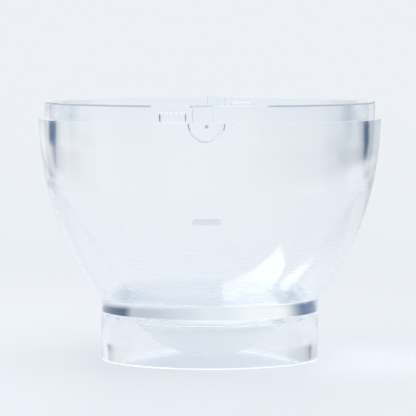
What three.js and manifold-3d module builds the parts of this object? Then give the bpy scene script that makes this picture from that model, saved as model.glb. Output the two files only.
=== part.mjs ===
// Clear mixing bowl of an ice cream maker: a bowl shell with a bonded rim collar on a solid base
// disc, standing on a tube foot, with a frosted cup hanging under the disc.
// Millimetres, +Z up, origin at the centre of the foot's resting face, latch notch towards -Y.
import * as THREE from 'three';
import { mergeVertices } from 'three/addons/utils/BufferGeometryUtils.js';
import Module from 'manifold-3d';

const wasm = await Module();
wasm.setup();

// Driving dimensions

const SEGMENTS = 64; // steps round every turned piece
const GAP = 0.3; // clearance between pieces that touch

const RIM_TOP = 141.4;
const SHOULDER_TOP = 132;
const NECK_RADIUS = 90.75;
const MOUTH_RADIUS = 85.4; // inside the neck, at the rim
const SLEEVE_RADIUS = 84.2; // inside the collar, at its lower edge
const SLEEVE_BOTTOM = 94.5;
const EDGE_ROUND = 0.8; // radius along the rim's two edges

const WALL_CENTRE = 134.8; // height of the widest level of the wall's ellipse
const WALL_HALF_WIDTH = 93.9;
const WALL_HALF_HEIGHT = 131.5;
const WALL_THICKNESS = 1.65;
const WALL_STEPS = 12;

const DISC_RADIUS = 59.7;
const DISC_TOP = 33.3;
const DISC_BOTTOM = 26.4;
const SKIRT_RADIUS = 52.2; // ring under the disc that plugs into the foot
const RING_WALL = 2;
const RING_BOTTOM = 21.4;

const FOOT_WALL = 4.9;
const SEAL_SECTION = 2;
const SEAL_HEIGHT = 23.65;

const CUP_RADIUS = 41.5;
const CUP_WALL = 2;
const CUP_LOWEST = 2.75;
const CUP_SPHERE = 65.5;

const SEAT_INNER = 44;
const SEAT_OUTER = 53.9;
const SEAT_HEIGHT = 6;

const NOTCH_RADIUS = 9.9;
const PIN_RADIUS = 1;
const PIN_LENGTH = 1.3;
const PIN_DROP = 1.4; // below the shoulder

const BLOCK_RADIUS = 93.6; // outer face of the bayonet keys and lugs
const KEY_ANGLES = [-4.7, 2]; // degrees from the notch, positive towards +X at the front
const LUG_ANGLES = [-15.6, -6.8];
const LUG_HEIGHT = 5.8;

const MARK_LENGTH = 15;
const MARK_WIDTH = 3.3;
const MARK_THICKNESS = 0.5;
const MARK_HEIGHT = 80.3;

// Values that follow from them

const FOOT_BORE = DISC_RADIUS - FOOT_WALL;
const WALL_BOTTOM = DISC_TOP + GAP;
const FRONT = -Math.PI / 2;
const REAR = Math.PI / 2;

// Materials

const clearPlastic = new THREE.MeshStandardMaterial({
  color: 0xe6eef4, roughness: 0.05, metalness: 0, transparent: true, opacity: 0.35,
});
const frostedPlastic = new THREE.MeshStandardMaterial({
  color: 0xe4e9ee, roughness: 0.55, metalness: 0, transparent: true, opacity: 0.8,
});
const clearSilicone = new THREE.MeshStandardMaterial({
  color: 0xb4bcc4, roughness: 0.45, metalness: 0, transparent: true, opacity: 0.7,
});
const markPlastic = new THREE.MeshStandardMaterial({
  color: 0xc9d0d6, roughness: 0.5, metalness: 0, transparent: true, opacity: 0.6,
});
const steel = new THREE.MeshStandardMaterial({ color: 0x6b7076, roughness: 0.3, metalness: 1 });

// Shared helpers

function lathe(profile) {
  const points = profile.map(([radius, height]) => new THREE.Vector2(radius, height));
  return new THREE.LatheGeometry(points, SEGMENTS).rotateX(Math.PI / 2);
}

function mesh(name, geometry, material) {
  const piece = new THREE.Mesh(geometry, material);
  piece.name = name;
  return piece;
}

// Radius of the bowl's wall at a height, measured a given depth inside its outer face.
function wallRadius(height, depth) {
  const drop = (WALL_CENTRE - height) / (WALL_HALF_HEIGHT - depth);
  return (WALL_HALF_WIDTH - depth) * Math.sqrt(1 - drop * drop);
}

// Points up the wall from one height to another, closer together where it curves most.
function wallCurve(bottom, top, depth, steps) {
  const half = WALL_HALF_HEIGHT - depth;
  const first = Math.acos((WALL_CENTRE - bottom) / half);
  const last = Math.acos((WALL_CENTRE - top) / half);
  const points = [];
  for (let i = 0; i <= steps; i += 1) {
    const angle = first + ((last - first) * i) / steps;
    points.push([(WALL_HALF_WIDTH - depth) * Math.sin(angle), WALL_CENTRE - half * Math.cos(angle)]);
  }
  return points;
}

function arc(centre, radius, start, end, steps) {
  const points = [];
  for (let i = 0; i <= steps; i += 1) {
    const angle = start + ((end - start) * i) / steps;
    points.push([centre[0] + radius * Math.cos(angle), centre[1] + radius * Math.sin(angle)]);
  }
  return points;
}

function toSolid(geometry) {
  const bare = geometry.index ? geometry.toNonIndexed() : geometry.clone();
  bare.deleteAttribute('normal');
  bare.deleteAttribute('uv');
  const merged = mergeVertices(bare, 1e-4);
  return new wasm.Manifold(new wasm.Mesh({
    numProp: 3,
    vertProperties: new Float32Array(merged.attributes.position.array),
    triVerts: new Uint32Array(merged.index.array),
  }));
}

function toGeometry(solid) {
  const cut = solid.getMesh();
  const geometry = new THREE.BufferGeometry();
  geometry.setAttribute('position', new THREE.BufferAttribute(cut.vertProperties, cut.numProp));
  geometry.setIndex(new THREE.BufferAttribute(cut.triVerts, 1));
  geometry.computeVertexNormals();
  return geometry;
}

// Block bent round the neck between two angles, counted from the front or the rear.
function neckBlock(facing, [start, end], height) {
  const from = facing + THREE.MathUtils.degToRad(start);
  const to = facing + THREE.MathUtils.degToRad(end);
  const outline = new THREE.Shape();
  outline.absarc(0, 0, NECK_RADIUS + GAP, from, to, false);
  outline.absarc(0, 0, BLOCK_RADIUS, to, from, true);
  const block = new THREE.ExtrudeGeometry(outline, { depth: height, bevelEnabled: false, curveSegments: 6 });
  return block.translate(0, 0, SHOULDER_TOP + GAP);
}

// Sub-parts

function footRing() {
  const top = DISC_BOTTOM - GAP;
  const profile = [[FOOT_BORE, 0], [DISC_RADIUS, 0], [DISC_RADIUS, top], [FOOT_BORE, top], [FOOT_BORE, 0]];
  return mesh('foot_ring', lathe(profile), clearPlastic);
}

function footSeal() {
  const centre = [(SKIRT_RADIUS + FOOT_BORE) / 2, SEAL_HEIGHT];
  const section = arc(centre, SEAL_SECTION / 2, 0, 2 * Math.PI, 6);
  section[section.length - 1] = section[0];
  return mesh('foot_seal', lathe(section), clearSilicone);
}

function ringSection(radius) {
  const inner = radius - RING_WALL;
  return [[inner, DISC_BOTTOM], [inner, RING_BOTTOM], [radius, RING_BOTTOM], [radius, DISC_BOTTOM]];
}

function baseDisc() {
  const profile = [
    [0, DISC_BOTTOM], ...ringSection(CUP_RADIUS), ...ringSection(SKIRT_RADIUS),
    [DISC_RADIUS, DISC_BOTTOM], [DISC_RADIUS, DISC_TOP], [0, DISC_TOP],
  ];
  return mesh('base_disc', lathe(profile), clearPlastic);
}

function baseCup() {
  const centre = [0, CUP_LOWEST + CUP_SPHERE];
  const top = RING_BOTTOM - GAP;
  const down = -Math.PI / 2;
  const outerEnd = down + Math.asin(CUP_RADIUS / CUP_SPHERE);
  const innerEnd = down + Math.asin((CUP_RADIUS - CUP_WALL) / (CUP_SPHERE - CUP_WALL));
  const outside = arc(centre, CUP_SPHERE, down, outerEnd, 7);
  const inside = arc(centre, CUP_SPHERE - CUP_WALL, innerEnd, down, 5);
  outside[0][0] = 0;
  inside[inside.length - 1][0] = 0;
  const rim = [[CUP_RADIUS, top], [CUP_RADIUS - CUP_WALL, top]];
  return mesh('base_cup', lathe([...outside, ...rim, ...inside]), frostedPlastic);
}

function bowlShell() {
  const outside = wallCurve(WALL_BOTTOM, SHOULDER_TOP, 0, WALL_STEPS);
  const inside = wallCurve(WALL_BOTTOM, SHOULDER_TOP, WALL_THICKNESS, WALL_STEPS).reverse();
  const shell = toSolid(lathe([...outside, ...inside, outside[0]]));
  const cutter = new THREE.CylinderGeometry(NOTCH_RADIUS, NOTCH_RADIUS, 2.2 * WALL_HALF_WIDTH, 40);
  const notches = toSolid(cutter.translate(0, 0, SHOULDER_TOP));
  return mesh('bowl_shell', toGeometry(shell.subtract(notches)), clearPlastic);
}

function rimCollar() {
  const fitted = wallCurve(SLEEVE_BOTTOM, SHOULDER_TOP, WALL_THICKNESS + GAP, 5);
  const edge = RIM_TOP - EDGE_ROUND;
  const outerEdge = arc([NECK_RADIUS - EDGE_ROUND, edge], EDGE_ROUND, 0, Math.PI / 2, 3);
  const innerEdge = arc([MOUTH_RADIUS + EDGE_ROUND, edge], EDGE_ROUND, Math.PI / 2, Math.PI, 3);
  const profile = [
    [SLEEVE_RADIUS, SLEEVE_BOTTOM], ...fitted, [NECK_RADIUS, SHOULDER_TOP], ...outerEdge, ...innerEdge,
    [SLEEVE_RADIUS, SLEEVE_BOTTOM],
  ];
  return mesh('rim_collar', lathe(profile), clearPlastic);
}

function interlockPin() {
  const height = SHOULDER_TOP - PIN_DROP;
  const foot = wallRadius(height, WALL_THICKNESS + GAP) + GAP;
  const pin = new THREE.CylinderGeometry(PIN_RADIUS, PIN_RADIUS, PIN_LENGTH, 20);
  pin.translate(0, -foot - PIN_LENGTH / 2, height);
  return mesh('interlock_pin', pin, steel);
}

function fillMark() {
  const end = (MARK_LENGTH - MARK_WIDTH) / 2;
  const quarter = Math.PI / 2;
  const pill = new THREE.Shape();
  pill.absarc(end, 0, MARK_WIDTH / 2, -quarter, quarter, false);
  pill.absarc(-end, 0, MARK_WIDTH / 2, quarter, 3 * quarter, false);
  const bar = new THREE.ExtrudeGeometry(pill, {
    depth: WALL_HALF_WIDTH, bevelEnabled: false, curveSegments: 8,
  });
  bar.rotateX(Math.PI / 2).translate(0, 0, MARK_HEIGHT);
  const low = MARK_HEIGHT - MARK_WIDTH;
  const high = MARK_HEIGHT + MARK_WIDTH;
  const outside = wallCurve(low, high, -GAP - MARK_THICKNESS, 3);
  const inside = wallCurve(low, high, -GAP, 3).reverse();
  const skin = toSolid(lathe([...outside, ...inside, outside[0]]));
  return mesh('fill_mark', toGeometry(skin.intersect(toSolid(bar))), markPlastic);
}

function seatRing() {
  const middle = (SEAT_INNER + SEAT_OUTER) / 2;
  const half = (SEAT_OUTER - SEAT_INNER) / 2;
  const crown = [];
  for (let i = 0; i <= 8; i += 1) {
    const angle = (Math.PI * i) / 8;
    crown.push([middle + half * Math.cos(angle), WALL_BOTTOM + SEAT_HEIGHT * Math.sin(angle)]);
  }
  return mesh('seat_ring', lathe([...crown, crown[0]]), clearSilicone);
}

// Assembly

const foot = new THREE.Group();
foot.add(footRing());

const bowl = new THREE.Group();
bowl.add(baseDisc(), footSeal(), baseCup(), bowlShell(), rimCollar(), interlockPin(), fillMark());
for (const [side, facing] of [['front', FRONT], ['rear', REAR]]) {
  const key = neckBlock(facing, KEY_ANGLES, RIM_TOP - SHOULDER_TOP - 2 * GAP);
  const lug = neckBlock(facing, LUG_ANGLES, LUG_HEIGHT);
  bowl.add(mesh(`bayonet_key_${side}`, key, clearPlastic));
  bowl.add(mesh(`bayonet_lug_${side}`, lug, clearPlastic));
}

const loose = new THREE.Group();
loose.add(seatRing());

const assembly = new THREE.Group();
assembly.add(foot, bowl, loose);

export default assembly;
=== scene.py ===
"""Looks of a clear ice cream maker bowl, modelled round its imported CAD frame.

Every clear piece is turned again here as a fine mesh with small rounds on its edges, because
clear plastic shows each facet. Bonded pieces overlap by a twentieth of a millimetre, and the
rings and the foot stop as far short of the disc. Where the collar is bonded into the shell,
both faces of the joint let light cross unbent, as glue does.

Metres, +Z up, the notch with the pin towards -Y. The front is -Y and the rear is +Y.
"""

import logging
import math
from dataclasses import dataclass, field
from enum import Enum
from typing import Any, Callable, Iterable, Optional, Union

import bpy
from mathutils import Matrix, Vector

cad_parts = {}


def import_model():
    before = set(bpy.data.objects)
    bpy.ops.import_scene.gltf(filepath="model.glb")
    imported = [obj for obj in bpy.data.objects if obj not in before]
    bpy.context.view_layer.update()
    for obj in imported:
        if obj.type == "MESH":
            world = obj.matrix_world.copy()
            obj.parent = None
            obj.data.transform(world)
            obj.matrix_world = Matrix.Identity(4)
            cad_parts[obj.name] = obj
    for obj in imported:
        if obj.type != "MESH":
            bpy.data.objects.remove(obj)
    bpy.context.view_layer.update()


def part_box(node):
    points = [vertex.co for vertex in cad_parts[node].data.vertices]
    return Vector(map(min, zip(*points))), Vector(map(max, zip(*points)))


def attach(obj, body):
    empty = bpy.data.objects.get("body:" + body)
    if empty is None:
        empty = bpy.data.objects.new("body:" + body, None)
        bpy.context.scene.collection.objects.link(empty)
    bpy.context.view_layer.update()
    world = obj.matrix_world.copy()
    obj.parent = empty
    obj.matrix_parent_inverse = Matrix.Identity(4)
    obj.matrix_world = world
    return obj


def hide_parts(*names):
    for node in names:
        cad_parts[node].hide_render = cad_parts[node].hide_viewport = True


log = logging.getLogger("ice_cream_bowl")

MM = 0.001
BOND = 0.05 * MM
SEAM = 0.002 * MM
CLEARANCE = 5 * MM
TINY = 1e-7
FULL_TURN = 2 * math.pi
TURN_STEPS = 192
ROUND_STEPS = 4
CLEAR_INDEX = 1.49

Point = tuple[float, float]
Fade = tuple[float, float]
Colour = tuple[float, float, float, float]
Piece = bpy.types.Object


# Shader expressions


class Sock:
    """A node's output socket that can be used in an expression."""

    def __init__(self, graph: "Graph", socket: bpy.types.NodeSocket) -> None:
        """Wrap one output socket of a graph."""
        self.graph = graph
        self.socket = socket

    def _math(self, operation: str, *values: "Value") -> "Sock":
        """Add one Math node on these values."""
        return self.graph.add("ShaderNodeMath", {"operation": operation}, dict(enumerate(values)))

    def __add__(self, other: "Value") -> "Sock":
        """Sum of two values."""
        return self._math("ADD", self, other)

    def __sub__(self, other: "Value") -> "Sock":
        """Difference of two values."""
        return self._math("SUBTRACT", self, other)

    def __rsub__(self, other: "Value") -> "Sock":
        """Difference of two values, with a number on the left."""
        return self._math("SUBTRACT", other, self)

    def __mul__(self, other: "Value") -> "Sock":
        """Product of two values."""
        return self._math("MULTIPLY", self, other)

    def __abs__(self) -> "Sock":
        """Size of the value without its sign."""
        return self._math("ABSOLUTE", self)

    def most(self, other: "Value") -> "Sock":
        """Larger of two values."""
        return self._math("MAXIMUM", self, other)

    def ramp(self, low: float, high: float, start: float = 0.0, end: float = 1.0) -> "Sock":
        """Smooth step of this value.

        Args:
            low: The value at which the step starts.
            high: The value at which the step ends.
            start: What the step gives at low.
            end: What the step gives at high.

        Returns:
            The stepped value.
        """
        values = {"Value": self, "From Min": low, "From Max": high, "To Min": start, "To Max": end}
        return self.graph.add("ShaderNodeMapRange", {"interpolation_type": "SMOOTHSTEP"}, values)

    def fall(self, low: float, high: float) -> "Sock":
        """Smooth step from 1 at low down to 0 at high."""
        return self.ramp(low, high, 1.0, 0.0)


Value = Union[Sock, float, int, tuple, bpy.types.NodeSocket]
Shaders = tuple[Sock, Optional[Sock]]


class Graph:
    """Node tree of a material or a world, built by expressions."""

    MIX_FACTOR = 0
    MIX_LOW_COLOUR = 6
    MIX_HIGH_COLOUR = 7
    MIX_COLOUR = 2

    def __init__(self, owner: Union[bpy.types.Material, bpy.types.World]) -> None:
        """Empty the owner's node tree and keep it."""
        owner.use_nodes = True
        self.tree = owner.node_tree
        self.tree.nodes.clear()

    def feed(self, entry: bpy.types.NodeSocket, value: "Value") -> None:
        """Link a value to a node's input, or set it there."""
        source = value.socket if isinstance(value, Sock) else value
        if isinstance(source, bpy.types.NodeSocket):
            self.tree.links.new(source, entry)
        else:
            entry.default_value = source

    def add(
        self,
        kind: str,
        settings: Optional[dict[str, Any]] = None,
        values: Optional[dict[Union[str, int], Value]] = None,
        output: Union[str, int] = 0,
    ) -> Sock:
        """Add one node.

        Args:
            kind: The node's type.
            settings: Its properties, set first.
            values: Its inputs by name or number, as numbers, colours or sockets.
            output: The output to return.

        Returns:
            The chosen output.
        """
        node = self.tree.nodes.new(kind)
        for name, setting in (settings or {}).items():
            setattr(node, name, setting)
        for name, value in (values or {}).items():
            self.feed(node.inputs[name], value)
        if isinstance(output, str):
            return Sock(self, node.outputs[output])
        return Sock(self, [socket for socket in node.outputs if socket.enabled][output])

    def mix(self, factor: Value, low: Value, high: Value) -> Sock:
        """Colour between low and high by the factor."""
        node = self.tree.nodes.new("ShaderNodeMix")
        node.data_type = "RGBA"
        self.feed(node.inputs[self.MIX_LOW_COLOUR], low)
        self.feed(node.inputs[self.MIX_HIGH_COLOUR], high)
        self.feed(node.inputs[self.MIX_FACTOR], factor)
        return Sock(self, node.outputs[self.MIX_COLOUR])

    def pick(self, factor: Value, low: Value, high: Value) -> Sock:
        """Number between low and high by the factor."""
        return low + (high - low) * factor

    def place(self) -> Sock:
        """Position on the object, in metres."""
        return self.add("ShaderNodeTexCoord", output="Object")

    def split(self, vector: Value) -> tuple[Sock, Sock, Sock]:
        """X, Y and Z of a vector."""
        first = self.add("ShaderNodeSeparateXYZ", values={0: vector})
        return tuple(Sock(self, socket) for socket in first.socket.node.outputs)

    def noise(self, vector: Value, scale: float, detail: float = 2.0) -> Sock:
        """Soft noise from 0 to 1 over a vector."""
        values = {"Vector": vector, "Scale": scale, "Detail": detail}
        return self.add("ShaderNodeTexNoise", values=values)

    def principled(self, values: dict[str, Value]) -> Sock:
        """Surface shader with these inputs."""
        return self.add("ShaderNodeBsdfPrincipled", values=values)

    def depth(self, tint: Colour, density: float) -> Sock:
        """Tint that deepens with the distance that light goes through the piece."""
        return self.add("ShaderNodeVolumeAbsorption", values={"Color": tint, "Density": density})

    def lamps_through(self, shader: Sock, tint: Colour) -> Sock:
        """Let a lamp's rays through a clear shader, so that it casts only a faint shadow."""
        shadow = self.add("ShaderNodeLightPath", output="Is Shadow Ray")
        clear = self.add("ShaderNodeBsdfTransparent", values={"Color": tint})
        return self.add("ShaderNodeMixShader", values={0: shadow, 1: shader, 2: clear})

    def finish(self, kind: str, shader: Sock, volume: Optional[Sock] = None) -> None:
        """Join the shader to an output node.

        Args:
            kind: The output node's type.
            shader: The surface or background.
            volume: The inside of a material, if it has one.
        """
        out = self.tree.nodes.new(kind)
        self.tree.links.new(shader.socket, out.inputs["Surface"])
        if volume is not None:
            self.tree.links.new(volume.socket, out.inputs["Volume"])


# Finishes


@dataclass(frozen=True)
class Finish:
    """A look that makes its own node material."""

    name: str = ""
    slot: str = ""

    def shaders(self, graph: Graph) -> Shaders:
        """Surface of the finish, and the inside if it has one."""
        raise NotImplementedError

    def material(self) -> bpy.types.Material:
        """Material of the finish, made on its first use."""
        made = bpy.data.materials.get(self.name)
        if made is None:
            made = bpy.data.materials.new(self.name)
            graph = Graph(made)
            graph.finish("ShaderNodeOutputMaterial", *self.shaders(graph))
        return made


@dataclass(frozen=True)
class ClearAcrylic(Finish):
    """Turned and polished clear acrylic with faint tool rings."""

    name: str = "clear_acrylic"
    slot: str = "clear_plastic"
    tint: Colour = (0.985, 0.993, 1.0, 1.0)
    refraction: float = CLEAR_INDEX
    gloss: float = 0.012
    haze: float = 0.03
    haze_scale: float = 38.0
    ring_pitch: float = 0.9 * MM
    ring_depth: float = 0.02
    depth_tint: Colour = (0.55, 0.74, 0.86, 1.0)
    absorption: float = 0.0

    def shaders(self, graph: Graph) -> Shaders:
        """Nodes of the finish."""
        place = graph.place()
        _, _, height = graph.split(place)
        rings = graph.add("ShaderNodeCombineXYZ", values={"Z": height})
        fine = graph.noise(rings, 1 / self.ring_pitch, 4.0)
        broad = graph.noise(place, self.haze_scale, 3.0)
        rough = broad.ramp(0.45, 0.75, self.gloss, self.haze)
        relief = {"Strength": self.ring_depth, "Distance": MM, "Height": fine}
        bump = graph.add("ShaderNodeBump", values=relief)
        shader = graph.principled({
            "Base Color": self.tint,
            "Roughness": rough,
            "IOR": self.refraction,
            "Transmission Weight": 1.0,
            "Normal": bump,
        })
        inside = None
        if self.absorption > 0:
            inside = graph.depth(self.depth_tint, self.absorption)
        return graph.lamps_through(shader, self.tint), inside


@dataclass(frozen=True)
class GlueLine(Finish):
    """Faces that are bonded to another clear piece, which light crosses unbent."""

    name: str = "glue_line"

    def shaders(self, graph: Graph) -> Shaders:
        """Nodes of the finish."""
        return graph.add("ShaderNodeBsdfTransparent"), None


@dataclass(frozen=True)
class SandedFace(Finish):
    """Flat face sanded or cut white: the foot's resting face and the collar's lower end; its
    emission is painted glow that brightens it.
    """

    name: str = "sanded_face"
    colour: Colour = (0.96, 0.97, 0.98, 1.0)
    rough: float = 0.6
    rough_spread: float = 0.1
    scratch_scale: float = 900.0
    painted_glow: float = 0.25

    def shaders(self, graph: Graph) -> Shaders:
        """Nodes of the finish."""
        scratch = graph.noise(graph.place(), self.scratch_scale, 3.0)
        spread = self.rough_spread
        shader = graph.principled({
            "Base Color": self.colour,
            "Roughness": scratch.ramp(0.3, 0.7, self.rough - spread, self.rough + spread),
            "Emission Color": self.colour,
            # Emission below is painted glow, which brightens the white face though it is no lamp.
            "Emission Strength": self.painted_glow,
        })
        return graph.lamps_through(shader, self.colour), None


@dataclass(frozen=True)
class FrostedPlastic(Finish):
    """Milky plastic with a fine moulded grain; its emission is painted glow that stands in for
    light scattered inside it.
    """

    name: str = "milky_plastic"
    slot: str = "frosted_plastic"
    colour: Colour = (0.93, 0.935, 0.92, 1.0)
    shade: Colour = (0.92, 0.93, 0.945, 1.0)
    refraction: float = CLEAR_INDEX
    rough: float = 0.42
    cloud_scale: float = 60.0
    grain: float = 0.35 * MM
    grain_strength: float = 0.12
    grain_depth: float = 0.1 * MM
    through: float = 0.3
    painted_glow: float = 0.03

    def shaders(self, graph: Graph) -> Shaders:
        """Nodes of the finish."""
        place = graph.place()
        cloud = graph.noise(place, self.cloud_scale, 3.0)
        grain = graph.noise(place, 1 / self.grain, 2.0)
        relief = {"Strength": self.grain_strength, "Distance": self.grain_depth, "Height": grain}
        bump = graph.add("ShaderNodeBump", values=relief)
        shader = graph.principled({
            "Base Color": graph.mix(cloud.ramp(0.35, 0.65), self.shade, self.colour),
            "Roughness": grain.ramp(0.3, 0.7, self.rough - 0.05, self.rough + 0.08),
            "IOR": self.refraction,
            "Transmission Weight": self.through,
            # Emission: painted glow in place of light scattered through the plastic.
            "Emission Color": self.colour,
            "Emission Strength": self.painted_glow,
            "Normal": bump,
        })
        return graph.lamps_through(shader, self.shade), None


@dataclass(frozen=True)
class ClearSilicone(Finish):
    """Soft clear rubber, so clear that it shows only where it is seen end on."""

    name: str = "soft_silicone"
    slot: str = "clear_silicone"
    tint: Colour = (0.97, 0.985, 1.0, 1.0)
    rough: float = 0.03
    cloud_scale: float = 110.0
    refraction: float = 1.008
    depth_tint: Colour = (0.35, 0.5, 0.62, 1.0)
    absorption: float = 9.0

    def shaders(self, graph: Graph) -> Shaders:
        """Nodes of the finish."""
        cloud = graph.noise(graph.place(), self.cloud_scale, 3.0)
        shader = graph.principled({
            "Base Color": self.tint,
            "Roughness": cloud.ramp(0.3, 0.7, self.rough - 0.01, self.rough + 0.02),
            "IOR": self.refraction,
            "Transmission Weight": 1.0,
        })
        inside = graph.depth(self.depth_tint, self.absorption)
        return graph.lamps_through(shader, self.tint), inside


@dataclass(frozen=True)
class DarkSteel(Finish):
    """Small turned pin of steel with faint wear."""

    name: str = "dark_steel"
    slot: str = "pin_steel"
    dark: Colour = (0.6, 0.63, 0.67, 1.0)
    worn: Colour = (0.72, 0.75, 0.79, 1.0)
    wear_scale: float = 2400.0

    def shaders(self, graph: Graph) -> Shaders:
        """Nodes of the finish."""
        wear = graph.noise(graph.place(), self.wear_scale, 3.0)
        shader = graph.principled({
            "Base Color": graph.mix(wear.ramp(0.5, 0.75), self.dark, self.worn),
            "Roughness": wear.ramp(0.3, 0.8, 0.28, 0.5),
            "Metallic": 1.0,
        })
        return shader, None


# Modelling helpers


class Edge(Enum):
    """How an edge of a section is finished, by its round's reach in millimetres."""

    SHARP = 0.0
    BROKEN = 0.12
    ROUND = 0.45
    SOFT = 0.9


def arc(centre: Point, radius: float, start: float, end: float, steps: int) -> list[Point]:
    """Points on an arc of a section.

    Args:
        centre: The arc's centre, as distance from the axis and height.
        radius: Its radius.
        start: The first point's angle in degrees, from the outward direction.
        end: The last point's angle.
        steps: How many stretches it is divided into.

    Returns:
        The points, from start to end.
    """
    points = []
    for i in range(steps + 1):
        angle = math.radians(start + (end - start) * i / steps)
        points.append((centre[0] + radius * math.cos(angle), centre[1] + radius * math.sin(angle)))
    return points


def rounded(points: list[tuple[float, float, Edge]]) -> list[Point]:
    """Section outline with its corners rounded.

    Args:
        points: The corners in order, each with the way its edge is finished.

    Returns:
        The closed outline's points, without the first one repeated.
    """
    outline: list[Point] = []
    count = len(points)
    for i, (x, y, edge) in enumerate(points):
        here = Vector((x, y))
        before = Vector(points[i - 1][:2]) - here
        after = Vector(points[(i + 1) % count][:2]) - here
        reach = min(edge.value * MM, 0.45 * before.length, 0.45 * after.length)
        if reach < TINY or x < TINY:
            outline.append((x, y))
            continue
        first = here + before.normalized() * reach
        last = here + after.normalized() * reach
        for j in range(ROUND_STEPS + 1):
            part = j / ROUND_STEPS
            rest = 1 - part
            spot = first * rest ** 2 + here * (2 * part * rest) + last * part ** 2
            outline.append((spot.x, spot.y))
    return outline


def band(sides: Point, ends: Point, edges: tuple[Edge, Edge, Edge, Edge]) -> list[Point]:
    """Section of a plain tube or disc.

    Args:
        sides: Its inner and outer radius.
        ends: The heights of its bottom and top.
        edges: How its edges are finished, from the inner lower one round to the inner upper one.

    Returns:
        The closed outline's points.
    """
    spots = ((0, 0), (1, 0), (1, 1), (0, 1))
    return rounded([(sides[i], ends[j], edge) for (i, j), edge in zip(spots, edges)])


def deselect() -> None:
    """Leave edit mode and clear the selection."""
    if bpy.context.object is not None and bpy.context.object.mode != "OBJECT":
        bpy.ops.object.mode_set(mode="OBJECT")
    bpy.ops.object.select_all(action="DESELECT")


def edit_all() -> None:
    """Enter edit mode with everything selected."""
    bpy.ops.object.mode_set(mode="EDIT")
    bpy.ops.mesh.select_all(action="SELECT")


def active(piece: Piece) -> None:
    """Make a piece the only selected object."""
    deselect()
    piece.select_set(True)
    bpy.context.view_layer.objects.active = piece


def settle(piece: Piece, smooth: float = 28.0) -> Piece:
    """Close a piece's seams, face it outwards, put its place in its mesh and smooth it.

    Args:
        piece: The piece to finish.
        smooth: The sharpest angle that is still shaded smooth, in degrees.

    Returns:
        The same piece.
    """
    active(piece)
    bpy.ops.object.transform_apply(location=True, rotation=True, scale=True)
    edit_all()
    bpy.ops.mesh.remove_doubles(threshold=SEAM)
    bpy.ops.mesh.normals_make_consistent(inside=False)
    bpy.ops.object.mode_set(mode="OBJECT")
    bpy.ops.object.shade_smooth_by_angle(angle=math.radians(smooth))
    deselect()
    return piece


def apply_modifier(piece: Piece, kind: str, **settings: Any) -> None:
    """Add a modifier with these settings and apply it."""
    active(piece)
    modifier = piece.modifiers.new(kind.lower(), kind)
    for name, setting in settings.items():
        setattr(modifier, name, setting)
    bpy.ops.object.modifier_apply(modifier=modifier.name)


def bevel(piece: Piece, width: float, segments: int) -> None:
    """Round a piece's sharp edges."""
    apply_modifier(piece, "BEVEL", width=width, segments=segments, limit_method="ANGLE")


def upright_plane(name: str, size: Point, spot: Vector) -> Piece:
    """Rectangle that faces the front.

    Args:
        name: The piece's name.
        size: Its width and height.
        spot: Its centre.

    Returns:
        The piece.
    """
    deselect()
    bpy.ops.mesh.primitive_plane_add(size=1, rotation=(math.pi / 2, 0, 0))
    piece = bpy.context.object
    piece.name = name
    piece.scale = (*size, 1)
    piece.location = spot
    bpy.ops.object.transform_apply(location=True, rotation=True, scale=True)
    return piece


def draw_section(name: str, outline: list[Point], closed: bool) -> Piece:
    """Draw a section point by point in the plane right of the axis.

    Args:
        name: The piece's name.
        outline: Points as distance from the axis and height.
        closed: Whether the outline returns to its first point.

    Returns:
        The piece, which is one line of edges so far.
    """
    deselect()
    start = outline[0]
    bpy.ops.mesh.primitive_plane_add(size=MM, location=(start[0], 0, start[1]))
    piece = bpy.context.object
    piece.name = name
    piece.data.name = name
    edit_all()
    bpy.ops.mesh.merge(type="CENTER")
    spots = outline[1:] + ([start] if closed else [])
    for spot, last in zip(spots, outline):
        step = (spot[0] - last[0], 0, spot[1] - last[1])
        bpy.ops.mesh.extrude_region_move(TRANSFORM_OT_translate={"value": step})
    bpy.ops.object.mode_set(mode="OBJECT")
    bpy.ops.object.transform_apply(location=True)
    return piece


def sweep(steps: int, angle: float) -> None:
    """Sweep the active piece round the bowl's axis."""
    edit_all()
    bpy.ops.mesh.spin(steps=steps, angle=angle, center=(0, 0, 0), axis=(0, 0, 1))
    bpy.ops.object.mode_set(mode="OBJECT")


def turn(name: str, outline: list[Point], closed: bool = True) -> Piece:
    """Turn a section round the bowl's axis.

    Args:
        name: The piece's name.
        outline: Points as distance from the axis and height.
        closed: Whether the section is a loop. One that isn't starts and ends on the axis.

    Returns:
        The turned piece.
    """
    piece = draw_section(name, outline, closed)
    sweep(TURN_STEPS, FULL_TURN)
    return settle(piece)


def cylinder(name: str, radius: float, ends: tuple[Vector, Vector], sides: int) -> Piece:
    """Plain cylinder between two points, used as a cutter or a blank.

    Args:
        name: The object's name.
        radius: Its radius.
        ends: The centres of its two ends.
        sides: How many sides it has.

    Returns:
        The new object.
    """
    deselect()
    span = ends[1] - ends[0]
    tilt = span.to_track_quat("Z", "Y").to_euler()
    middle = (ends[0] + ends[1]) / 2
    bpy.ops.mesh.primitive_cylinder_add(
        vertices=sides, radius=radius, depth=span.length, location=middle, rotation=tilt
    )
    made = bpy.context.object
    made.name = name
    return made


def cut(piece: Piece, cutters: Iterable[Piece]) -> None:
    """Cut a piece with other objects, which are then removed."""
    for cutter in cutters:
        apply_modifier(piece, "BOOLEAN", operation="DIFFERENCE", object=cutter, solver="EXACT")
        bpy.data.objects.remove(cutter)


def from_outside(spot: Vector, across: float) -> float:
    """How far right something lies, seen from outside at the front or at the rear.

    Args:
        spot: A point on that side of the bowl.
        across: The X part of its place or direction.

    Returns:
        The X part at the front, and its opposite at the rear.
    """
    return across if spot.y < 0 else -across


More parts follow.
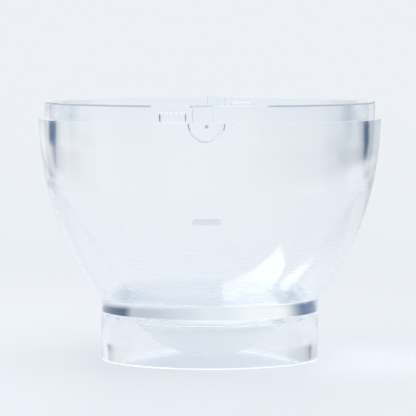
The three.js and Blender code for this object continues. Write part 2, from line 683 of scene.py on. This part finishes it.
def dress(piece: Piece, finish: Finish, body: str, *nodes: str) -> None:
    """Give a piece its finish and tie it to the frame.

    Args:
        piece: The piece.
        finish: The finish, which makes its own material.
        body: The CAD body that it moves with.
        nodes: The CAD nodes that it stands for.
    """
    piece.data.materials.clear()
    piece.data.materials.append(finish.material())
    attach(piece, body)
    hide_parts(*nodes)
    triangles = sum(len(face.vertices) - 2 for face in piece.data.polygons)
    log.info("%s: %d triangles on body %s", piece.name, triangles, body)


def coat(piece: Piece, finish: Finish, chosen: Callable[[Vector, Vector], bool]) -> None:
    """Give some faces of a dressed piece another finish.

    Args:
        piece: The piece, dressed already.
        finish: The other finish.
        chosen: Whether a face gets it, from its centre and its normal.
    """
    piece.data.materials.append(finish.material())
    index = len(piece.data.materials) - 1
    count = 0
    for face in piece.data.polygons:
        if chosen(face.center, face.normal):
            face.material_index = index
            count += 1
    log.info("%s: %d faces with %s", piece.name, count, finish.name)


# The frame's measures


@dataclass
class Measures:
    """Sizes read from the frame that more than one piece uses."""

    rim_top: float = field(init=False)
    shoulder: float = field(init=False)
    shoulder_radius: float = field(init=False)
    disc_top: float = field(init=False)
    disc_bottom: float = field(init=False)
    disc_radius: float = field(init=False)
    ring_bottom: float = field(init=False)
    sleeve_bottom: float = field(init=False)
    widest: float = field(init=False)
    half_width: float = field(init=False)
    half_height: float = field(init=False)
    neck_inset: float = 3.13 * MM
    mouth_inset: float = 5.35 * MM
    sleeve_draft: float = 1.2 * MM
    skirt_inset: float = 7.5 * MM
    disc_thickness: float = 6.9 * MM
    widest_above_shoulder: float = 2.8 * MM
    wall: float = 1.65 * MM

    def __post_init__(self) -> None:
        """Read the boxes of the CAD nodes and fit the wall's ellipse."""
        shell_low, shell_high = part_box("bowl_shell")
        disc_low, disc_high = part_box("base_disc")
        collar_low, collar_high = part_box("rim_collar")
        self.rim_top = collar_high.z
        self.sleeve_bottom = collar_low.z
        self.shoulder = shell_high.z
        self.shoulder_radius = shell_high.x
        self.disc_top = disc_high.z
        self.disc_radius = disc_high.x
        self.disc_bottom = self.disc_top - self.disc_thickness
        self.ring_bottom = disc_low.z
        self.widest = self.shoulder + self.widest_above_shoulder
        self._fit_wall()

    def _fit_wall(self) -> None:
        """Find the ellipse through the shoulder's edge and the disc's upper edge."""
        top = self.shoulder_radius ** 2
        low = self.disc_radius ** 2
        rise = (self.widest - self.shoulder) ** 2
        drop = (self.widest - self.disc_top) ** 2
        flatness = (top - low) / (top * drop - low * rise)
        self.half_height = math.sqrt(1 / flatness)
        self.half_width = math.sqrt(top / (1 - rise * flatness))

    @property
    def neck_radius(self) -> float:
        """Outer radius of the neck."""
        return self.shoulder_radius - self.neck_inset

    @property
    def mouth_radius(self) -> float:
        """Inner radius of the neck at the rim."""
        return self.neck_radius - self.mouth_inset

    @property
    def sleeve_radius(self) -> float:
        """Inner radius of the collar at its lower edge."""
        return self.mouth_radius - self.sleeve_draft

    @property
    def skirt_radius(self) -> float:
        """Outer radius of the ring that plugs into the foot."""
        return self.disc_radius - self.skirt_inset

    def wall_radius(self, height: float, depth: float = 0.0) -> float:
        """Radius of the wall at a height, a given depth inside its outer face."""
        drop = (self.widest - height) / (self.half_height - depth)
        return (self.half_width - depth) * math.sqrt(max(0.0, 1 - drop * drop))

    def wall_curve(self, bottom: float, top: float, depth: float, steps: int) -> list[Point]:
        """Points up the wall.

        Args:
            bottom: The lowest point's height.
            top: The highest point's height.
            depth: How far inside the outer face the curve runs.
            steps: How many stretches it has.

        Returns:
            The points, from bottom to top.
        """
        half = self.half_height - depth
        first = math.acos((self.widest - bottom) / half)
        last = math.acos((self.widest - top) / half)
        points = []
        for i in range(steps + 1):
            angle = first + (last - first) * i / steps
            radius = (self.half_width - depth) * math.sin(angle)
            points.append((radius, self.widest - half * math.cos(angle)))
        return points


# Sub-assemblies


@dataclass
class Foot:
    """Clear tube that the bowl stands on."""

    measures: Measures
    finish: ClearAcrylic = ClearAcrylic()
    sanded: SandedFace = SandedFace()
    sanded_below: float = -0.3
    bore_inset: float = 4.9 * MM

    def build(self) -> Piece:
        """Turn the tube."""
        low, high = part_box("foot_ring")
        outer = high.x
        inner = outer - self.bore_inset
        top = self.measures.disc_bottom - BOND
        edges = (Edge.ROUND, Edge.SOFT, Edge.BROKEN, Edge.ROUND)
        return turn("foot_tube", band((inner, outer), (low.z, top), edges))

    def add(self) -> None:
        """Build and dress the tube."""
        tube = self.build()
        dress(tube, self.finish, "foot", "foot_ring")
        coat(tube, self.sanded, lambda spot, normal: normal.z < self.sanded_below)


@dataclass
class Base:
    """Solid disc with the rings under it, the foot's seal and the frosted cup."""

    measures: Measures
    thick: ClearAcrylic = ClearAcrylic(name="thick_acrylic", absorption=1.6)
    thin: ClearAcrylic = ClearAcrylic()
    silicone: ClearSilicone = ClearSilicone()
    frosted: FrostedPlastic = FrostedPlastic()
    cup_wall: float = 2.0 * MM
    cup_rise: float = 14.83 * MM
    ring_wall: float = 2.0 * MM

    def disc(self) -> Piece:
        """Turn the solid disc."""
        m = self.measures
        edges = (Edge.SHARP, Edge.BROKEN, Edge.BROKEN, Edge.SHARP)
        outline = band((0, m.disc_radius), (m.disc_bottom, m.disc_top), edges)
        return turn("base_disc_solid", outline, closed=False)

    def ring(self, name: str, radius: float) -> Piece:
        """Turn a thin ring that hangs under the disc.

        Args:
            name: The ring's name.
            radius: Its outer radius.

        Returns:
            The ring, a hair's breadth under the disc.
        """
        m = self.measures
        inner = radius - self.ring_wall
        top = m.disc_bottom - BOND
        edges = (Edge.ROUND, Edge.ROUND, Edge.BROKEN, Edge.BROKEN)
        return turn(name, band((inner, radius), (m.ring_bottom, top), edges))

    def seal(self) -> Piece:
        """Sweep the seal's round section, whose CAD solid is a ring of six sides."""
        low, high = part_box("foot_seal")
        radius = (high.z - low.z) / math.sqrt(3)
        middle = (0, 0, (low.z + high.z) / 2)
        deselect()
        bpy.ops.mesh.primitive_torus_add(
            location=middle, major_radius=high.x - radius, minor_radius=radius,
            major_segments=160, minor_segments=16,
        )
        ring = bpy.context.object
        ring.name = "foot_o_ring"
        return settle(ring, 60.0)

    def cup(self) -> Piece:
        """Turn the hollow cup from its bottom to its open rim."""
        low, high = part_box("base_cup")
        radius = high.x
        wall = self.cup_wall
        sphere = (radius ** 2 + self.cup_rise ** 2) / (2 * self.cup_rise)
        centre = (0.0, low.z + sphere)
        edge = math.degrees(math.asin(radius / sphere)) - 90
        inner = sphere - wall
        inner_edge = math.degrees(math.asin((radius - wall) / inner)) - 90
        outside = arc(centre, sphere, -90, edge, 30)
        inside = arc(centre, inner, inner_edge, -90, 26)
        rim = arc((radius - wall / 2, high.z - wall / 2), wall / 2, 0, 180, 10)
        outline = [(0.0, low.z)] + outside[1:] + rim + inside[:-1] + [(0.0, low.z + wall)]
        return turn("frosted_cup", outline, closed=False)

    def add(self) -> None:
        """Build and dress the three pieces."""
        m = self.measures
        dress(self.disc(), self.thick, "bowl", "base_disc")
        cup_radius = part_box("base_cup")[1].x
        for name, radius in (("foot_skirt", m.skirt_radius), ("cup_ring", cup_radius)):
            dress(self.ring(name, radius), self.thin, "bowl", "base_disc")
        dress(self.seal(), self.silicone, "bowl", "foot_seal")
        dress(self.cup(), self.frosted, "bowl", "base_cup")


@dataclass
class Bowl:
    """Curved shell with its two notches and the collar bonded inside it."""

    measures: Measures
    finish: ClearAcrylic = ClearAcrylic()
    glue: GlueLine = GlueLine()
    # The collar's cut lower end: white, with a little painted glow.
    cut_face: SandedFace = SandedFace(name="cut_face", painted_glow=0.1)
    # Blue-grey tint on the round of the rim: painted shade for the dark line that refraction draws
    # there.
    rim_painted_shade: ClearAcrylic = ClearAcrylic(name="rim_painted_shade", tint=(0.3, 0.37, 0.45, 1.0))
    # Grey tint on the left and lower notch edges: painted shade, darker on one side only.
    notch_painted_shade: ClearAcrylic = ClearAcrylic(name="notch_painted_shade", tint=(0.6, 0.67, 0.73, 1.0))
    notch_radius: float = 9.9 * MM
    notch_depth: float = 2.3 * MM
    notch_dish: float = 2.0 * MM
    notch_band: float = 0.9 * MM
    edge_height: float = 0.3 * MM
    collar_step: float = 0.2 * MM
    ledge: float = 0.4 * MM
    cut_below: float = -0.5
    notch_left: float = -0.3
    notch_steep: float = 0.8
    rim_slopes: Point = (0.08, 0.99)
    rim_band: float = 1.2 * MM
    rim_breaks: tuple[Point, ...] = ((-30 * MM, -7.6 * MM), (3 * MM, 32 * MM))
    breaks_from: float = 60 * MM

    def shell(self) -> Piece:
        """Turn the thin wall and cut the two notches."""
        m = self.measures
        bottom = m.disc_top - BOND
        top = m.shoulder - self.edge_height
        outside = m.wall_curve(bottom, top, 0.0, 56)
        inside = m.wall_curve(bottom, m.sleeve_bottom, m.wall, 36)[:-1]
        inside += m.wall_curve(m.sleeve_bottom, top, m.wall, 24)
        edge = rounded([
            (*outside[-1], Edge.SHARP), (outside[-1][0], m.shoulder, Edge.ROUND),
            (inside[-1][0], m.shoulder, Edge.BROKEN), (*inside[-1], Edge.SHARP),
        ])
        outline = outside[:-1] + edge + inside[:-1][::-1]
        piece = turn("bowl_wall", outline)
        cut(piece, self.notch_cutters())
        return settle(piece)

    def notch_cutters(self) -> list[Piece]:
        """Two round cutters with rounded ends, which leave dished notches."""
        m = self.measures
        cutters = []
        for side in (-1, 1):
            near = Vector((0, side * (m.shoulder_radius - self.notch_depth), m.shoulder))
            far = Vector((0, side * (m.shoulder_radius + CLEARANCE), m.shoulder))
            cutter = cylinder("notch_cutter", self.notch_radius, (near, far), 96)
            bevel(cutter, self.notch_dish, 8)
            cutters.append(cutter)
        return cutters

    def collar(self) -> Piece:
        """Turn the neck and the sleeve that fills the shell's upper part."""
        m = self.measures
        fitted = m.wall_curve(m.sleeve_bottom, m.shoulder - self.collar_step, m.wall - BOND, 24)
        ledge = (fitted[0][0] - self.ledge, m.sleeve_bottom)
        neck = rounded([
            (*fitted[-1], Edge.SHARP), (fitted[-1][0], m.shoulder, Edge.BROKEN),
            (m.neck_radius, m.shoulder, Edge.BROKEN), (m.neck_radius, m.rim_top, Edge.SOFT),
            (m.mouth_radius, m.rim_top, Edge.SOFT), (m.sleeve_radius, m.sleeve_bottom, Edge.ROUND),
            (*ledge, Edge.SHARP),
        ])
        piece = turn("neck_collar", fitted[:-1] + neck)
        cut(piece, self.notch_cutters())
        return settle(piece)

    def on_rim(self, spot: Vector, normal: Vector) -> bool:
        """Whether a face lies on the round of the rim's outer edge, but not beside the keys; these
        faces get a painted dark line of shade.
        """
        m = self.measures
        if min(spot.z - m.rim_top, math.hypot(spot.x, spot.y) - m.neck_radius) < -self.rim_band:
            return False
        across = from_outside(spot, spot.x)
        in_break = any(low < across < high for low, high in self.rim_breaks)
        if abs(spot.y) > self.breaks_from and in_break:
            return False
        return self.rim_slopes[0] < normal.z < self.rim_slopes[1]

    def in_joint(self, spot: Vector, normal: Vector) -> bool:
        """Whether a face lies in the joint of the shell and the collar."""
        m = self.measures
        if not m.sleeve_bottom - BOND < spot.z < m.shoulder - 2 * BOND:
            return False
        return abs(math.hypot(spot.x, spot.y) - m.wall_radius(spot.z, m.wall)) < 3 * BOND

    def in_notch_shade(self, spot: Vector, normal: Vector) -> bool:
        """Whether a face lies on the left and lower part of a thumb notch's edge, where shade is
        painted.
        """
        m = self.measures
        reach = math.hypot(spot.x, m.shoulder - spot.z)
        if abs(reach - self.notch_radius) > self.notch_band or abs(spot.y) < 0.9 * m.neck_radius:
            return False
        return from_outside(spot, normal.x) > self.notch_left and abs(normal.y) < self.notch_steep

    def add(self) -> None:
        """Build and dress the shell and the collar."""
        shell = self.shell()
        dress(shell, self.finish, "bowl", "bowl_shell")
        collar = self.collar()
        dress(collar, self.finish, "bowl", "rim_collar")
        for piece in (shell, collar):
            coat(piece, self.glue, self.in_joint)
            # Painted shade on the left and lower edges of the notches.
            coat(piece, self.notch_painted_shade, self.in_notch_shade)
        coat(collar, self.cut_face, lambda spot, normal: normal.z < self.cut_below)
        # Painted shade on the rim's round.
        coat(collar, self.rim_painted_shade, self.on_rim)


@dataclass
class Bayonet:
    """Keys and lugs bonded on the neck."""

    measures: Measures
    finish: ClearAcrylic = ClearAcrylic()
    # Grey tint on the keys' right-hand ends and the lugs' rounded ends: painted shade for the dark
    # lines these edges show.
    edge: ClearAcrylic = ClearAcrylic(name="key_lug_painted_shade", tint=(0.76, 0.8, 0.84, 1.0))
    face_inset: float = 0.28 * MM
    key_bevel: float = 0.5 * MM
    key_slope: float = 0.3
    lug_bevel: float = 1.3 * MM
    lug_slopes: Point = (0.3, 0.97)
    steps: int = 10

    def block(self, node: str) -> Piece:
        """Sweep one block round the neck between the edges of its CAD node.

        Args:
            node: The CAD node that the block follows.

        Returns:
            The block, with its edges still sharp.
        """
        m = self.measures
        low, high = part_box(node)
        front = low.y < 0
        outer = m.shoulder_radius - self.face_inset
        inner = m.neck_radius - BOND
        ends = sorted((low.x, high.x), reverse=front)
        first, last = (self._angle(across, outer, front) for across in ends)
        spot = Vector(((outer + inner) / 2, 0, (low.z + high.z) / 2))
        piece = upright_plane(f"{node}_block", (outer - inner, high.z - low.z), spot)
        sweep(self.steps, first - last)
        piece.rotation_euler.z = first
        bpy.ops.object.transform_apply(rotation=True)
        return settle(piece)

    def _angle(self, across: float, radius: float, front: bool) -> float:
        """Angle round the axis of a point on the block's outer face."""
        lean = math.asin(across / radius)
        return lean - math.pi / 2 if front else math.pi / 2 - lean

    def on_key_edge(self, spot: Vector, normal: Vector) -> bool:
        """Whether a face lies on the right-hand end of a key, which gets painted shade."""
        return from_outside(spot, normal.x) > self.key_slope

    def on_lug_edge(self, spot: Vector, normal: Vector) -> bool:
        """Whether a face lies on the rounded ends of a lug, which get painted shade."""
        return self.lug_slopes[0] < abs(normal.x) < self.lug_slopes[1]

    def add(self) -> None:
        """Build and dress the four blocks."""
        key = ("key", self.key_bevel, self.on_key_edge)
        lug = ("lug", self.lug_bevel, self.on_lug_edge)
        for part, width, on_edge in (key, lug):
            for side in ("front", "rear"):
                node = f"bayonet_{part}_{side}"
                block = self.block(node)
                bevel(block, width, 3)
                dress(settle(block), self.finish, "bowl", node)
                # Painted shade on the block's edges.
                coat(block, self.edge, on_edge)


@dataclass
class SmallParts:
    """Pin in the front notch and the mark on the front wall."""

    measures: Measures
    steel: DarkSteel = DarkSteel()
    frosted: FrostedPlastic = FrostedPlastic(
        name="mark_frost", slot="mark_plastic", colour=(0.95, 0.955, 0.965, 1.0),
        through=0.78, painted_glow=0.0,
    )
    pin_root: float = 0.5 * MM
    pin_bevel: float = 0.25 * MM
    mark_raise: float = 0.3 * MM
    mark_bevel: float = 0.1 * MM
    strips: int = 14

    def pin(self) -> Piece:
        """Round pin with a rounded edge on its head."""
        low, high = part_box("interlock_pin")
        radius = (high.x - low.x) / 2
        height = (low.z + high.z) / 2
        root = Vector((0, high.y + self.pin_root, height))
        tip = Vector((0, low.y, height))
        piece = cylinder("latch_pin", radius, (root, tip), 40)
        bpy.ops.object.transform_apply(location=True, rotation=True, scale=True)
        bevel(piece, self.pin_bevel, 4)
        return settle(piece)

    def mark(self, wall: Piece) -> Piece:
        """Pill-shaped pad laid on the wall.

        Args:
            wall: The bowl's wall, which the pad is wrapped on.

        Returns:
            The pad.
        """
        low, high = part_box("fill_mark")
        centre = (low + high) / 2
        width = high.z - low.z
        length = high.x - low.x
        before_wall = Vector((centre.x, low.y - CLEARANCE, centre.z))
        piece = upright_plane("level_mark", (length, width), before_wall)
        edit_all()
        bpy.ops.mesh.bevel(offset=width * 0.499, segments=10, affect="VERTICES")
        for i in range(1, self.strips):
            bpy.ops.mesh.select_all(action="SELECT")
            spot = (low.x + length * i / self.strips, 0, 0)
            bpy.ops.mesh.bisect(plane_co=spot, plane_no=(1, 0, 0))
        bpy.ops.object.mode_set(mode="OBJECT")
        apply_modifier(
            piece, "SHRINKWRAP", target=wall, wrap_method="PROJECT", use_project_y=True,
            use_positive_direction=True, use_negative_direction=False, use_project_x=False,
        )
        apply_modifier(piece, "SOLIDIFY", thickness=self.mark_raise + 2 * BOND, offset=0.6)
        bevel(piece, self.mark_bevel, 3)
        return settle(piece)

    def add(self) -> None:
        """Build and dress the pin and the mark."""
        dress(self.pin(), self.steel, "bowl", "interlock_pin")
        dress(self.mark(bpy.data.objects["bowl_wall"]), self.frosted, "bowl", "fill_mark")


@dataclass
class SeatRing:
    """Loose ring with a D-shaped section on the bowl's floor."""

    measures: Measures
    finish: ClearSilicone = ClearSilicone()
    half_width: float = 4.95 * MM
    steps: int = 24

    def build(self) -> Piece:
        """Turn the ring."""
        _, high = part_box("seat_ring")
        middle = high.x - self.half_width
        floor = self.measures.disc_top + BOND
        rise = high.z - floor
        outline = []
        for x, y in arc((0.0, 0.0), 1.0, 0, 180, self.steps):
            outline.append((middle + self.half_width * x, floor + rise * y))
        return turn("floor_seat_ring", outline)

    def add(self) -> None:
        """Build and dress the ring."""
        dress(self.build(), self.finish, "seat", "seat_ring")


# Studio


@dataclass
class Surround:
    """World that the glass bends into view: pale, with dark cards at both sides.

    Bearings are angles from straight behind the bowl, positive to the right. Heights are the
    upward part of a direction. Each fade is where something starts and where it is complete.
    """

    pale: Colour = (0.845, 0.878, 0.912, 1.0)
    low: Colour = (0.80, 0.845, 0.89, 1.0)
    above: Colour = (0.95, 0.97, 1.0, 1.0)
    window: Colour = (0.99, 0.985, 0.98, 1.0)
    left_card: Colour = (0.04, 0.12, 0.24, 1.0)
    right_card: Colour = (0.03, 0.09, 0.18, 1.0)
    front_card: float = 0.15
    left_to_right: Fade = (-0.1, 0.1)
    low_to_high: Fade = (0.0, 0.05)
    low_start: Fade = (math.radians(29), math.radians(37))
    left_start: Fade = (math.radians(29), math.radians(50))
    right_start: Fade = (math.radians(27), math.radians(39))
    low_end: Fade = (math.radians(46), math.radians(56))
    high_end: Fade = (math.radians(72), math.radians(84))
    front_start: Fade = (math.radians(100), math.radians(110))
    front_end: Fade = (math.radians(140), math.radians(150))
    card_bottom: Fade = (-0.2, -0.17)
    left_top: Fade = (0.16, 0.3)
    right_top: Fade = (0.11, 0.2)
    low_haze: float = 0.3
    low_haze_start: Fade = (-0.03, 0.3)
    near_haze: float = 0.12
    near_haze_start: Fade = (-0.03, 0.12)
    far_haze: float = 0.26
    far_haze_start: Fade = (0.03, 0.5)
    haze_change: Fade = (0.01, 0.05)
    horizon: Fade = (-0.13, -0.03)
    window_start: Fade = (-0.9, -0.5)
    window_end: Fade = (-0.3, -0.08)
    window_bottom: Fade = (0.0, 0.04)
    window_top: Fade = (0.14, 0.2)
    ceiling: Fade = (0.3, 0.7)

    def haze(self, graph: Graph, bearing: Sock, up: Sock) -> Sock:
        """Faint grey that deepens to the right."""
        low = bearing.ramp(*self.low_haze_start, 0.0, self.low_haze)
        near = bearing.ramp(*self.near_haze_start, 0.0, self.near_haze)
        far = bearing.ramp(*self.far_haze_start, 0.0, self.far_haze)
        return graph.pick(up.ramp(*self.haze_change), low, near + far)

    def cards(self, graph: Graph, right: Sock, bearing: Sock, up: Sock) -> Sock:
        """How much the dark cards and the haze cover each direction.

        Args:
            graph: The world's graph.
            right: 0 for directions to the left, 1 to the right.
            bearing: Each direction's bearing.
            up: Each direction's height.

        Returns:
            0 where the room shows, up to 1 where a card covers it.
        """
        side = abs(bearing)
        high = up.ramp(*self.low_to_high)
        low_start = side.ramp(*self.low_start)
        on_left = graph.pick(high, low_start, side.ramp(*self.left_start))
        on_right = graph.pick(high, low_start, side.ramp(*self.right_start))
        end = graph.pick(high, side.fall(*self.low_end), side.fall(*self.high_end))
        card = graph.pick(right, on_left, on_right) * end
        front = side.ramp(*self.front_start) * side.fall(*self.front_end)
        card = card.most(front * self.front_card)
        top = graph.pick(right, up.fall(*self.left_top), up.fall(*self.right_top))
        haze = self.haze(graph, bearing, up) * end
        return card.most(haze) * up.ramp(*self.card_bottom) * top

    def room(self, graph: Graph, bearing: Sock, up: Sock) -> Sock:
        """Colour of the pale room with its window on the left and its bright ceiling."""
        wall = graph.mix(up.ramp(*self.horizon), self.low, self.pale)
        window = bearing.ramp(*self.window_start) * bearing.fall(*self.window_end)
        window = window * up.ramp(*self.window_bottom) * up.fall(*self.window_top)
        wall = graph.mix(window, wall, self.window)
        return graph.mix(up.ramp(*self.ceiling), wall, self.above)

    def add(self) -> None:
        """Make the world. The camera itself sees it without the cards."""
        world = bpy.data.worlds.new("surround")
        bpy.context.scene.world = world
        graph = Graph(world)
        across, away, up = graph.split(graph.add("ShaderNodeTexCoord", output="Generated"))
        bearing = graph.add("ShaderNodeMath", {"operation": "ARCTAN2"}, {0: across, 1: away})
        right = across.ramp(*self.left_to_right)
        card = self.cards(graph, right, bearing, up)
        cloth = graph.mix(right, self.left_card, self.right_card)
        room = self.room(graph, bearing, up)
        seen = graph.add("ShaderNodeLightPath", output="Is Camera Ray")
        colour = graph.mix(card * (1 - seen), room, cloth)
        sky = graph.add("ShaderNodeBackground", values={"Color": colour, "Strength": 1.0})
        graph.finish("ShaderNodeOutputWorld", sky)


@dataclass
class Studio:
    """Pale table, surround, one softbox and the camera."""

    measures: Measures
    surround: Surround
    distance: float = 1.683
    eye: float = 0.18865
    pitch: float = math.radians(3.609)
    turn: float = math.radians(1.0)
    lens: float = 265.3
    shift: float = -0.0041
    table: Colour = (0.78, 0.79, 0.823, 1.0)
    table_dulling: float = 0.985
    table_radius: float = 0.9
    table_drop: float = 0.1 * MM
    table_fade: Fade = (0.26, 0.85)
    softbox_place: tuple[float, float, float] = (-0.6, 0.08, 1.3)
    softbox_size: Point = (0.75, 1.0)
    softbox_power: float = 5.0
    bounces: int = 96
    matt_bounces: int = 6
    glue_bounces: int = 128

    def camera(self) -> None:
        """Long lens a little above the rim, slightly round to the right."""
        data = bpy.data.cameras.new("view")
        camera = bpy.data.objects.new("view", data)
        bpy.context.scene.collection.objects.link(camera)
        camera.location = (
            self.distance * math.sin(self.turn), -self.distance * math.cos(self.turn), self.eye
        )
        camera.rotation_euler = (math.pi / 2 - self.pitch, 0, self.turn)
        data.sensor_width = 36
        data.lens = self.lens
        data.shift_x = self.shift
        data.clip_start = 0.01
        bpy.context.scene.camera = camera

    def floor(self) -> None:
        """Pale table that fades into the surround far from the bowl."""
        deselect()
        spot = (0, 0, -self.table_drop)
        bpy.ops.mesh.primitive_circle_add(
            vertices=96, radius=self.table_radius, fill_type="NGON", location=spot
        )
        table = bpy.context.object
        table.name = "table"
        made = bpy.data.materials.new("table")
        graph = Graph(made)
        place = graph.place()
        away = graph.add("ShaderNodeVectorMath", {"operation": "LENGTH"}, {0: place}, "Value")
        mottle = graph.noise(place, 3.0, 3.0).ramp(0.3, 0.7)
        dull = tuple(self.table_dulling * part for part in self.table[:3]) + (1.0,)
        matt = graph.principled({
            "Base Color": graph.mix(mottle, dull, self.table),
            "Roughness": 0.55,
            "Specular IOR Level": 0.3,
        })
        clear = graph.add("ShaderNodeBsdfTransparent")
        gone = away.ramp(*self.table_fade)
        fade = graph.add("ShaderNodeMixShader", values={0: gone, 1: matt, 2: clear})
        graph.finish("ShaderNodeOutputMaterial", fade)
        table.data.materials.append(made)

    def softbox(self) -> None:
        """Rectangular light over the left of the bowl, aimed at its floor."""
        data = bpy.data.lights.new("left_softbox", "AREA")
        data.shape = "RECTANGLE"
        data.size, data.size_y = self.softbox_size
        data.energy = self.softbox_power
        lamp = bpy.data.objects.new("left_softbox", data)
        spot = Vector(self.softbox_place)
        lamp.location = spot
        aim = Vector((0, 0, self.measures.disc_top))
        lamp.rotation_euler = (aim - spot).to_track_quat("-Z", "Y").to_euler()
        bpy.context.scene.collection.objects.link(lamp)

    def light_paths(self, cycles: Any) -> None:
        """Let light cross every clear wall of the bowl, there and back."""
        cycles.max_bounces = self.bounces
        cycles.transmission_bounces = self.bounces
        cycles.glossy_bounces = self.bounces
        cycles.diffuse_bounces = self.matt_bounces
        cycles.transparent_max_bounces = self.glue_bounces

    def add(self) -> None:
        """Set up the camera, the surround, the table and the light."""
        self.camera()
        self.surround.add()
        self.floor()
        self.softbox()
        scene = bpy.context.scene
        scene.view_settings.view_transform = "Standard"
        self.light_paths(scene.cycles)
        log.info("studio: camera %.3f m away", self.distance)


def main() -> None:
    """Build the looks round the frame, piece by piece."""
    logging.basicConfig(level=logging.INFO, format="%(name)s: %(message)s")
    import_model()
    measures = Measures()
    Studio(measures, Surround()).add()
    for assembly in (Foot, Base, Bowl, Bayonet, SmallParts, SeatRing):
        assembly(measures).add()
    log.info("all pieces built")


if __name__ == "__main__":
    main()
